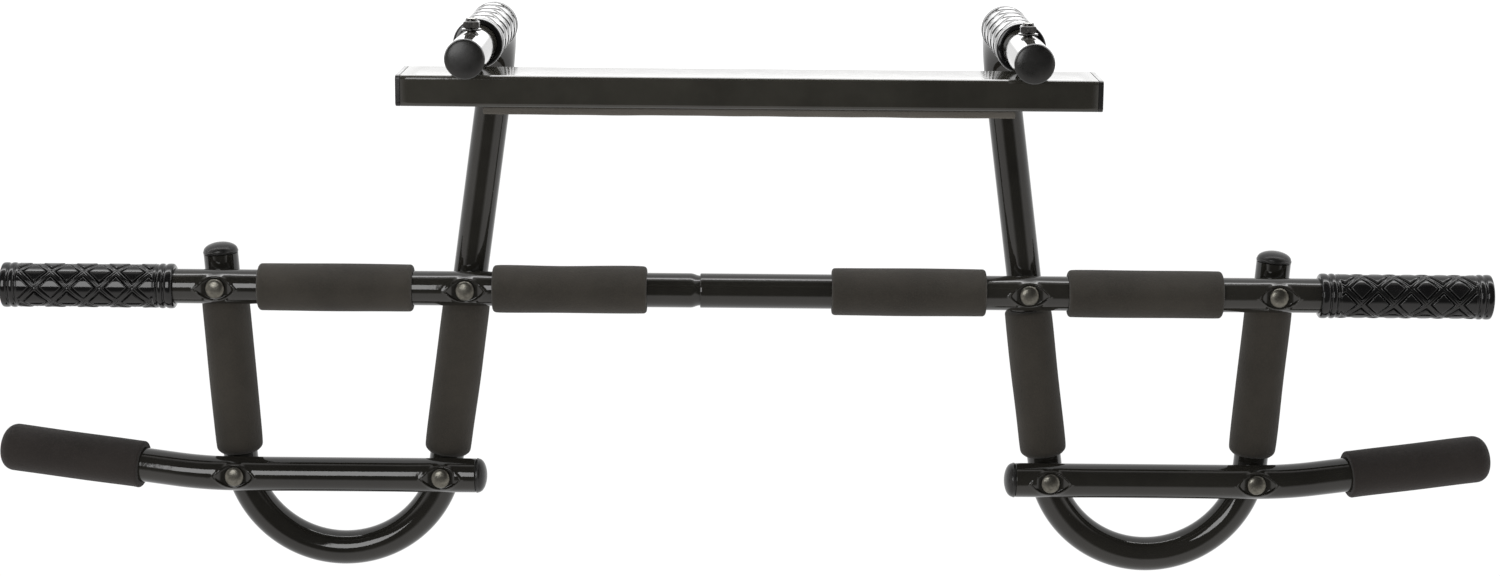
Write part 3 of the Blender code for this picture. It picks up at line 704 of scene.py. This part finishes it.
def leg_foams(tag, sign):
    """The sleeves on the two legs, rounder and pinched at the U-bend end."""
    for where, lean, seed in (("outer", OUTER_LEAN, 36), ("inner", -INNER_LEAN, 31)):
        node = "leg_foam_%s_%s" % (where, tag)
        way = Vector((sign * lean, 1, 0)).normalized()
        span = extent(node).y - 2 * FOAM_R * abs(way.x)
        centre = Vector((middle(node).x, middle(node).y, FRAME_Z))
        half = way * (span / way.y / 2)
        corners = (DRAWN_CORNER, CUT_CORNER)
        open_foam(node, centre - half, centre + half, corners, LEG_PINCH, seed + sign)


def lower_foam(tag, tube_tip, along):
    """Closed sleeve over the outer end of a lower bar, its tip rounded by the skive."""
    tip_corner, edge = 9.0 * MM, 1.6 * MM
    pinhole, flat_r = 0.3 * MM, 2.0 * MM
    bore_end = LOWER_FOAM_L - TIP_WALL + GAP
    base = tube_tip + along * (TIP_WALL - LOWER_FOAM_L)
    profile = [(pinhole, bore_end), (SLEEVE_R, bore_end), (SLEEVE_R, 0.0)]
    profile += round_corner(FOAM_R - edge, edge, edge, -90, 0)
    profile += round_corner(FOAM_R - tip_corner, LOWER_FOAM_L - tip_corner, tip_corner, 0, 78, 10)
    profile += [(flat_r, LOWER_FOAM_L), (pinhole, LOWER_FOAM_L)]
    profile = dense(profile, FOAM_STEP)
    waves = wobble(57 if tag == "left" else 58, FOAM_WAVE)

    def relief(height, angle):
        return waves(height, angle) * on_skin(profile) * smooth_step(height, 0, FOAM_EDGE)
    rings = turned(profile, base, along, FOAM_SEGS, relief)
    piece = finished("lower_foam_" + tag, *skin(rings), LOWER_FOAM, sharp=60.0)


# ================================================================ rubber grips
BODY_R = 15.5 * MM                              # the grip's plain body
PITCH = 23.5 * MM                               # one diamond along the grip
AROUND = 4                                      # diamonds round the grip
FIRST_CROSSING = 25.4 * MM                      # from the outer end
END_GRIP_TURN = {"left": math.radians(-5), "right": math.radians(-11.5)}
LATTICE_START = 13.5 * MM                       # from the outer end
LATTICE_END = 14.5 * MM                         # from the inner lip
LATTICE_EASE = 1.0 * MM                         # over this length the lattice sets in
LATTICE_R = BODY_R + 0.55 * MM                  # level that the depths below are measured from
BAND_HALF = 2.0 * MM                            # bands cross between the diamonds
BAND_SUNK = 0.55 * MM
BAND_FALL = 0.42 * MM                           # from a band's middle to its edge
LINE_SUNK = 0.34 * MM                           # fine line along a band's middle
LINE_HALF = 0.45 * MM
GROOVE = 0.44 * MM                              # half width of the groove round each diamond
GROOVE_DEPTH = 1.3 * MM
DIAMOND_SUNK = 0.12 * MM
DIAMOND_EDGE = 0.05 * MM                        # more at a diamond's edge than in its middle
DIAMOND_EDGE_RUN = 0.4 * MM
RING_FLOOR = BODY_R - 0.6 * MM                  # bottom of the gaps between the rings
LOW_RING = BODY_R + 0.3 * MM                    # radius of the low ring beside the lattice
# plain rings: start, end and radius, from the outer end and from the inner lip
OUTER_RINGS = ((0.0, 5.2 * MM, RING_R), (6.2 * MM, 10.2 * MM, RING_R), (10.9 * MM, 13.0 * MM, LOW_RING))
INNER_RINGS = ((0.0, 5.8 * MM, RING_R), (7.0 * MM, 10.8 * MM, RING_R), (11.6 * MM, 13.6 * MM, LOW_RING))
GRIP_LIP = 1.2 * MM                             # rounding of a grip's open end
END_WALL = 4.0 * MM                             # rubber beyond the end of the main bar


def lattice_relief(height, angle, turned_by):
    """Bands crossing between raised diamonds: each diamond sits in a groove of its own and each
    band has a fine line along its middle."""
    scale = 1 / math.hypot(1 / PITCH, AROUND / (BODY_R * 2 * math.pi))
    run = (height - FIRST_CROSSING) / PITCH
    turn = AROUND * (angle - turned_by) / (2 * math.pi)
    away = np.minimum(*(np.abs(f - np.round(f)) * scale for f in (run + turn, run - turn)))
    line = LINE_SUNK * np.exp(-(away / LINE_HALF) ** 2)
    band = BAND_SUNK + BAND_FALL * (away / BAND_HALF) ** 2 + line
    past_groove = np.maximum(away - BAND_HALF - 2 * GROOVE, 0)
    diamond = DIAMOND_SUNK + DIAMOND_EDGE * np.exp(-past_groove / DIAMOND_EDGE_RUN)
    depth = np.where(away < BAND_HALF + GROOVE, band, diamond)
    depth = depth + GROOVE_DEPTH * np.exp(-((away - BAND_HALF - GROOVE) / GROOVE) ** 2)
    set_in = smooth_step(height, LATTICE_START - LATTICE_EASE, LATTICE_START)
    set_in = set_in * smooth_step(GRIP_L - height, LATTICE_END - LATTICE_EASE, LATTICE_END)
    return -depth * set_in


def end_rings(height):
    """Radius of the plain moulded rings and gaps at both ends."""
    def ring(distance, start, end, radius):
        off_middle = (distance - (start + end) / 2) / ((end - start) / 2)
        return RING_FLOOR + (radius - RING_FLOOR) * np.clip(1 - off_middle ** 2, 0, None) ** 0.3
    return np.maximum.reduce([ring(height, *sizes) for sizes in OUTER_RINGS]
                             + [ring(GRIP_L - height, *sizes) for sizes in INNER_RINGS])


def grip_relief(height, angle, turned_by):
    """Radius of the whole moulded surface less the ring radius."""
    lattice = LATTICE_R + lattice_relief(height, angle, turned_by)
    past_start = height > LATTICE_START - LATTICE_EASE
    before_end = height < GRIP_L - LATTICE_END + LATTICE_EASE
    return np.where(past_start & before_end, lattice, end_rings(height)) - RING_R


def grip(name, outer_end, inward, closed, turned_by=0.0):
    """Diamond grip; heights run from its outer end inward. A closed one covers the bar's end."""
    def relief(height, angle):
        return grip_relief(height, angle, turned_by)

    def plain(*profile):
        return turned(profile, outer_end, inward, GRIP_SEGS)
    heights = np.arange(0.6 * MM, GRIP_L - 0.3 * MM, GRIP_STEP)
    outside = turned([(RING_R, h) for h in heights], outer_end, inward, GRIP_SEGS, relief)
    lip = plain((RING_R - GRIP_LIP, GRIP_L), (SLEEVE_R, GRIP_L))
    if closed:
        pinhole = 0.4 * MM
        face = plain((pinhole, 0.0), (RING_R * 0.55, 0.0), (RING_R - 1.5 * MM, 0.05 * MM))
        bore = plain((SLEEVE_R, END_WALL), (pinhole, END_WALL))
        points, faces = skin(np.concatenate((face, outside, lip, bore)))
    else:
        face = plain((SLEEVE_R, 0.0), (RING_R - GRIP_LIP, 0.0))
        points, faces = skin(np.concatenate((face, outside, lip)), joined=True)
    finished(name, points, faces, RUBBER, sharp=70.0)


def grips(tag, sign):
    """The closed grip on the main bar's end and the open one on the arm."""
    end_x = abs(middle("end_grip_" + tag).x) + GRIP_L / 2
    grip("end_grip_" + tag, (sign * end_x, BAR_Y, BAR_Z), (-sign, 0, 0), True, END_GRIP_TURN[tag])
    grip("arm_grip_" + tag, (sign * ARM_X, ARM_Y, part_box("arm_grip_" + tag)[1].z), (0, 0, -1), False)


# ================================================================ plugs
PLUG_DEPTH = 13.0 * MM
PLUG_RIM_R = 12.7 * MM
PLUG_PINHOLE = 0.3 * MM
# height of a head's rim, and of the dome on it
DOMED_HEAD = (1.9 * MM, 6.1 * MM)
LOW_HEAD = (1.2 * MM, 2.3 * MM)


def dome(radius, base, rise, from_angle):
    """Points of a dome's section, from near its rim to near its top; angles in degrees."""
    turns = np.radians(np.linspace(from_angle, 88, 18))
    return [(radius * math.cos(a), base + rise * math.sin(a)) for a in turns]


def plug(name, at, facing, head):
    """Push-in tube plug: chamfered spigot, rim with soft edges, and a domed head."""
    spigot_r = BORE_R - GAP
    rim_h, rise = head
    chamfer, soft = 1.0 * MM, 0.4 * MM
    profile = [(PLUG_PINHOLE, -PLUG_DEPTH), (spigot_r - chamfer, -PLUG_DEPTH),
               (spigot_r, -PLUG_DEPTH + chamfer), (spigot_r, GAP), (PLUG_RIM_R - soft, GAP)]
    profile += round_corner(PLUG_RIM_R - soft, GAP + soft, soft, -60, 0, 3)
    profile += [(PLUG_RIM_R, rim_h - 0.3 * MM), (PLUG_RIM_R - 0.25 * MM, rim_h)]
    profile += dome(PLUG_RIM_R - 0.35 * MM, rim_h, rise, 6)
    rings = turned(profile, at, facing, PLUG_SEGS)
    finished(name, *skin(rings), PLASTIC, sharp=28.0)


def plugs(tag, sign):
    """The plugs of one side's frame tube, lower bar and arm."""
    leg_end = (sign * outer_leg_x(OUTER_END), OUTER_END, FRAME_Z)
    plug("leg_plug_" + tag, leg_end, (sign * OUTER_LEAN, 1, 0), DOMED_HEAD)
    plug("lower_plug_" + tag, (sign * LOWER_IN_X, LOWER_Y, BAR_Z), (-sign, 0, 0), DOMED_HEAD)
    plug("arm_plug_" + tag, (sign * ARM_X, ARM_Y, ARM_TOP), (0, 0, 1), LOW_HEAD)


# ================================================================ fasteners
BOLT_R = 3.0 * MM
HEAD_R = 7.25 * MM
HEAD_H = 3.4 * MM
HEAD_EDGE = 0.7 * MM                            # height of the rolled edge of a bolt head
BEAM_HEAD_H = 1.6 * MM
NUT_FLAT = 5.0 * MM                             # half the width across flats
NUT_H = 4.8 * MM
BEAM_NUT_H = 4.6 * MM
BEAM_NUT_COLLAR = 1.6 * MM


def carriage_bolt(name, seat, facing, length, head_h=HEAD_H):
    """Domed head with a thin rolled edge, and a plain shank with a chamfered end."""
    roll = 0.4 * MM
    profile = [(0.3 * MM, -length), (BOLT_R - 0.5 * MM, -length), (BOLT_R, -length + 0.6 * MM),
               (BOLT_R, 0.0), (HEAD_R - 0.5 * MM, 0.0)]
    profile += round_corner(HEAD_R - roll, roll, roll, -60, 10, 4)
    profile += dome(HEAD_R - 0.1 * MM, HEAD_EDGE, head_h - HEAD_EDGE, 12)
    rings = turned(profile, seat, facing, SMALL_SEGS)
    finished(name, *skin(rings), STEEL, sharp=40.0)


def hexagon(angle, flat):
    """Distance from a hexagon's centre to its edge; flat is half its width across flats."""
    sector = (angle + math.pi / 6) % (math.pi / 3) - math.pi / 6
    return flat / np.cos(sector)


def hex_nut(name, base, facing, height, material, collar=0.0):
    """Chamfered hexagon nut; a collar makes it a lock nut."""
    bore, segs = BOLT_R + 0.25 * MM, 96
    corner_r = NUT_FLAT / math.cos(math.pi / 6)
    chamfer = [(NUT_FLAT * 0.93, 0.0), (NUT_FLAT * 1.04, 0.35 * MM), (corner_r, 0.9 * MM)]
    levels = [(bore, 0.0)] + chamfer + [(radius, height - level) for radius, level in chamfer[::-1]]
    if collar:
        top = height + collar
        levels += [(NUT_FLAT * 0.80, height), (NUT_FLAT * 0.76, top - 0.4 * MM), (NUT_FLAT * 0.68, top),
                   (bore + 0.5 * MM, top)]
    levels += [(bore, levels[-1][1])]
    angle = np.arange(segs) * 2 * math.pi / segs
    side, lift, along = (np.array(v) for v in axes(facing))
    rings = []
    for radius, level in levels:
        reach = np.minimum(radius, hexagon(angle, NUT_FLAT))
        ring = np.outer(reach * np.cos(angle), side) + np.outer(reach * np.sin(angle), lift)
        rings.append(np.array(base) + ring + along * level)
    finished(name, *skin(rings, joined=True), material, sharp=20.0)


def crossing_bolts(tag):
    """The bolt and nut at each crossing of a bar and a frame tube."""
    for key in CROSSINGS:
        place = "%s_%s" % (key, tag)
        low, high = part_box("bolt_" + place)
        seat = crossing(key, tag, high.z - HEAD_H)
        carriage_bolt("bolt_" + place, seat, (0, 0, 1), seat.z - low.z)
        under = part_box("nut_" + place)[1].z
        hex_nut("nut_" + place, crossing(key, tag, under), (0, 0, -1), NUT_H, STEEL)


def beam_fasteners(tag, sign):
    """The bolt that holds the beam to an arm, with its washer and lock nut behind."""
    low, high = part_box("beam_bolt_" + tag)
    seat = Vector((sign * ARM_X, low.y + BEAM_HEAD_H, BEAM_Z))
    carriage_bolt("beam_bolt_" + tag, seat, (0, -1, 0), high.y - seat.y, BEAM_HEAD_H)

    name = "beam_washer_" + tag
    washer_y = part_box(name)[0].y
    radius, thick = extent(name).z / 2, extent(name).y
    bore, soft = BOLT_R + 0.3 * MM, 0.2 * MM
    profile = [(bore, 0.0), (radius - soft, 0.0), (radius, soft), (radius, thick - soft),
               (radius - soft, thick), (bore, thick)]
    rings = turned(profile, (sign * ARM_X, washer_y, BEAM_Z), (0, 1, 0), SMALL_SEGS)
    finished(name, *skin(rings, joined=True), DARK_STEEL, sharp=25.0)

    base = (sign * ARM_X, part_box("beam_nut_" + tag)[0].y, BEAM_Z)
    hex_nut("beam_nut_" + tag, base, (0, 1, 0), BEAM_NUT_H, DARK_STEEL, BEAM_NUT_COLLAR)


# ================================================================ door beam and wall pad
BEAM_WALL = 1.5 * MM
BEAM_CORNER = 2.5 * MM
PAD_CORNER = 1.3 * MM                           # rounding of the pad's two ends
PAD_EDGE = 1.2 * MM
PAD_WAVE = 0.06 * MM
PAD_WAVES = (31, 53, 97, 170)                   # radians a metre


def nudged(point, degrees):
    """A point a little way from another, in a direction."""
    angle = math.radians(degrees)
    return tuple(np.array(point) + 0.4 * MM * np.array((math.cos(angle), math.sin(angle))))


def rounded_loop(width, height, radius, steps=6):
    """Rounded rectangle as (y, z) points, with a point either side of each corner so that the
    flats stay flat."""
    loop = []
    for y, z, start in ((1, 1, 0), (-1, 1, 90), (-1, -1, 180), (1, -1, 270)):
        centre = (y * (width / 2 - radius), z * (height / 2 - radius))
        arc = round_corner(*centre, radius, start, start + 90, steps)
        loop += [nudged(arc[0], start - 90)] + arc + [nudged(arc[-1], start + 180)]
    return loop


def loop_ring(x, centre, loop):
    return [(x, centre.y + y, centre.z + z) for y, z in loop]


def door_beam():
    """Rectangular tube across the arms, open at both ends, with softened edges."""
    low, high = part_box("door_beam")
    centre, size = middle("door_beam"), extent("door_beam")
    soft = 0.15 * MM
    outer = rounded_loop(size.y, size.z, BEAM_CORNER)
    broken = rounded_loop(size.y - 2 * soft, size.z - 2 * soft, 2.4 * MM)
    inner = rounded_loop(size.y - 2 * BEAM_WALL, size.z - 2 * BEAM_WALL, 1.0 * MM)
    rings = [loop_ring(low.x, centre, inner), loop_ring(low.x, centre, broken),
             loop_ring(low.x + 0.2 * MM, centre, outer)]
    rings += [loop_ring(x, centre, outer) for x in np.linspace(low.x + 10 * MM, high.x - 10 * MM, 12)]
    rings += [loop_ring(high.x - 0.2 * MM, centre, outer), loop_ring(high.x, centre, broken),
              loop_ring(high.x, centre, inner)]
    finished("door_beam", *skin(rings, joined=True), BEAM_PAINT, sharp=40.0)


def beam_plug(tag, sign):
    """End plug of the beam: a thin flange with softened edges and a tapered spigot."""
    name = "beam_plug_" + tag
    low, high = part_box(name)
    centre, size = middle(name), extent(name)
    face = sign * max(abs(low.x), abs(high.x))
    flange, taper, soft = 3.0 * MM, 2.0 * MM, 0.8 * MM

    def loop(smaller, corner):
        return rounded_loop(size.y - smaller, size.z - smaller, corner)
    full = loop(0.0, BEAM_CORNER)
    spigot = loop(4.2 * MM, 0.6 * MM)
    tip = loop(5.4 * MM, 0.6 * MM)
    section = [(size.x, tip), (size.x - taper, spigot), (flange, spigot), (flange, full), (soft, full),
               (0.25 * soft, loop(0.5 * soft, 2.3 * MM)), (0.0, loop(2 * soft, 1.9 * MM))]
    rings = [loop_ring(face - sign * inward, centre, outline) for inward, outline in section]
    finished(name, *skin(rings), PLASTIC, sharp=28.0)


def wall_pad():
    """Foam strip along the beam's door side: soft edges, slightly uneven face, rounded ends."""
    low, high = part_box("wall_pad")
    centre, size = middle("wall_pad"), extent("wall_pad")
    pick = random.Random(71)
    phases = [pick.uniform(0, 6.3) for _ in PAD_WAVES]
    near_end = np.array((0.0, 0.25 * MM, 0.7 * MM, PAD_CORNER))
    between = np.linspace(low.x + 3 * MM, high.x - 3 * MM, 90)
    rings = []
    for x in np.concatenate((low.x + near_end, between, high.x - near_end[::-1])):
        inset = max(0.0, PAD_CORNER - min(x - low.x, high.x - x))
        # the outline shrinks toward each end by a quarter of an ellipse
        ease = PAD_EDGE - math.sqrt(max(0.0, PAD_CORNER ** 2 - inset ** 2)) * 0.92
        loop = rounded_loop(size.y - 2 * ease, size.z - 2 * ease, PAD_EDGE, 5)
        wave = sum(math.sin(x * rate + phase) for rate, phase in zip(PAD_WAVES, phases)) * PAD_WAVE
        rings.append([(x, centre.y + y + (wave if y < 0 else 0), centre.z + z) for y, z in loop])
    piece = finished("wall_pad", *skin(rings), PAD, sharp=50.0)


# ================================================================ build
for tag, sign in SIDES:
    frame_tube(tag, sign)
    main_bar(tag, sign)
    tube_tip, tip_way = lower_bar(tag, sign)
    bar_foams(tag, sign)
    leg_foams(tag, sign)
    lower_foam(tag, tube_tip, tip_way)
    grips(tag, sign)
    plugs(tag, sign)
    crossing_bolts(tag)
    beam_fasteners(tag, sign)
    beam_plug(tag, sign)
door_beam()
wall_pad()


# ================================================================ floor, light and camera
FLOOR_HALF = 40.0
FLOOR_DROP = 0.2 * MM
FLOOR_GLOW = 1.04                               # just white
# toward the door side the floor glows more: start and end along Y, and the strength added
GLOW_STEPS = ((0.12, 0.20, 0.46), (0.214, 0.232, 2.3), (0.43, 0.49, 4.5))

ROOM_TINT = (1.0, 0.975, 0.955, 1.0)
CEILING_STRENGTH = 0.08
CEILING_LEAN = math.radians(27)                 # of its middle from straight up
CEILING_SPREAD = math.radians(51)               # from its middle to its edge
CEILING_BLUR = math.radians(8)

LENS, SENSOR = 67.2, 36.0
CAMERA_AT = (-0.0020, 0.3954, 2.0295)
CAMERA_TURNS = (-11.2305, -0.0142, 0.5058)      # degrees about X, Y and Z


def floor():
    """Wide floor that glows just white, and brighter far out on the door side."""
    signs = ((-1, -1), (1, -1), (1, 1), (-1, 1))
    corners = [(x * FLOOR_HALF, y * FLOOR_HALF, -FLOOR_DROP) for x, y in signs]
    mesh = bpy.data.meshes.new("floor")
    mesh.from_pydata(corners, [], [(0, 1, 2, 3)])
    plane = bpy.data.objects.new("floor", mesh)
    bpy.context.scene.collection.objects.link(plane)
    look = Shader("white_floor")
    split = look.nodes.new("ShaderNodeSeparateXYZ")
    look.links.new(look.place, split.inputs[0])
    glow = FLOOR_GLOW
    for start, end, more in GLOW_STEPS:
        glow = look.sum(glow, look.between(split.outputs["Y"], start, end, 0.0, more))
    look.set(Base_Color=(0.0, 0.0, 0.0, 1.0), Roughness=1.0, Specular_IOR_Level=0.0)
    look.set(Emission_Color=(1.0, 1.0, 1.0, 1.0), Emission_Strength=glow)
    mesh.materials.append(look.material)


def room():
    """Pale surroundings with a dark ceiling that leans toward the door side."""
    world = bpy.data.worlds.new("studio")
    bpy.context.scene.world = world
    world.use_nodes = True
    nodes, links = world.node_tree.nodes, world.node_tree.links
    where = nodes.new("ShaderNodeTexCoord")
    dot = nodes.new("ShaderNodeVectorMath")
    dot.operation = "DOT_PRODUCT"
    dot.inputs[1].default_value = (0.0, math.sin(CEILING_LEAN), math.cos(CEILING_LEAN))
    links.new(where.outputs["Generated"], dot.inputs[0])
    fade = nodes.new("ShaderNodeMapRange")
    fade.interpolation_type = "SMOOTHSTEP"
    fade.inputs["From Min"].default_value = math.cos(CEILING_SPREAD + CEILING_BLUR)
    fade.inputs["From Max"].default_value = math.cos(CEILING_SPREAD - CEILING_BLUR)
    fade.inputs["To Min"].default_value = 1.0
    fade.inputs["To Max"].default_value = CEILING_STRENGTH
    links.new(dot.outputs["Value"], fade.inputs["Value"])
    shade = nodes["Background"]
    shade.inputs["Color"].default_value = ROOM_TINT
    links.new(fade.outputs["Result"], shade.inputs["Strength"])


def soft_light(name, centre, target, size, radiance, shiny=True):
    """Rectangular soft light of a given radiance. One that isn't shiny leaves no reflection."""
    light = bpy.data.lights.new(name, "AREA")
    light.shape = "RECTANGLE"
    light.size, light.size_y = size
    light.energy = radiance * size[0] * size[1] * math.pi
    lamp = bpy.data.objects.new(name, light)
    bpy.context.scene.collection.objects.link(lamp)
    lamp.location = centre
    lamp.rotation_mode = "QUATERNION"
    lamp.rotation_quaternion = (Vector(target) - Vector(centre)).to_track_quat("-Z", "Y")
    lamp.visible_camera = False
    lamp.visible_glossy = shiny


def camera():
    """Nearly straight above, on the door side, tipped back to the middle of the object."""
    eye = bpy.data.cameras.new("camera")
    eye.lens, eye.sensor_width = LENS, SENSOR
    eye.clip_end = 200.0
    holder = bpy.data.objects.new("camera", eye)
    bpy.context.scene.collection.objects.link(holder)
    holder.location = CAMERA_AT
    holder.rotation_euler = [math.radians(a) for a in CAMERA_TURNS]
    bpy.context.scene.camera = holder


floor()
room()
soft_light("overhead_left", (-1.01, 0.78, 2.45), (-1.01, 0.78, 0.0), size=(1.18, 1.33), radiance=5.5)
soft_light("fill", (0.0, -0.3, 2.6), (0.0, 0.0, 0.0), size=(2.6, 2.2), radiance=1.6, shiny=False)
camera()
bpy.context.scene.view_settings.view_transform = "Standard"
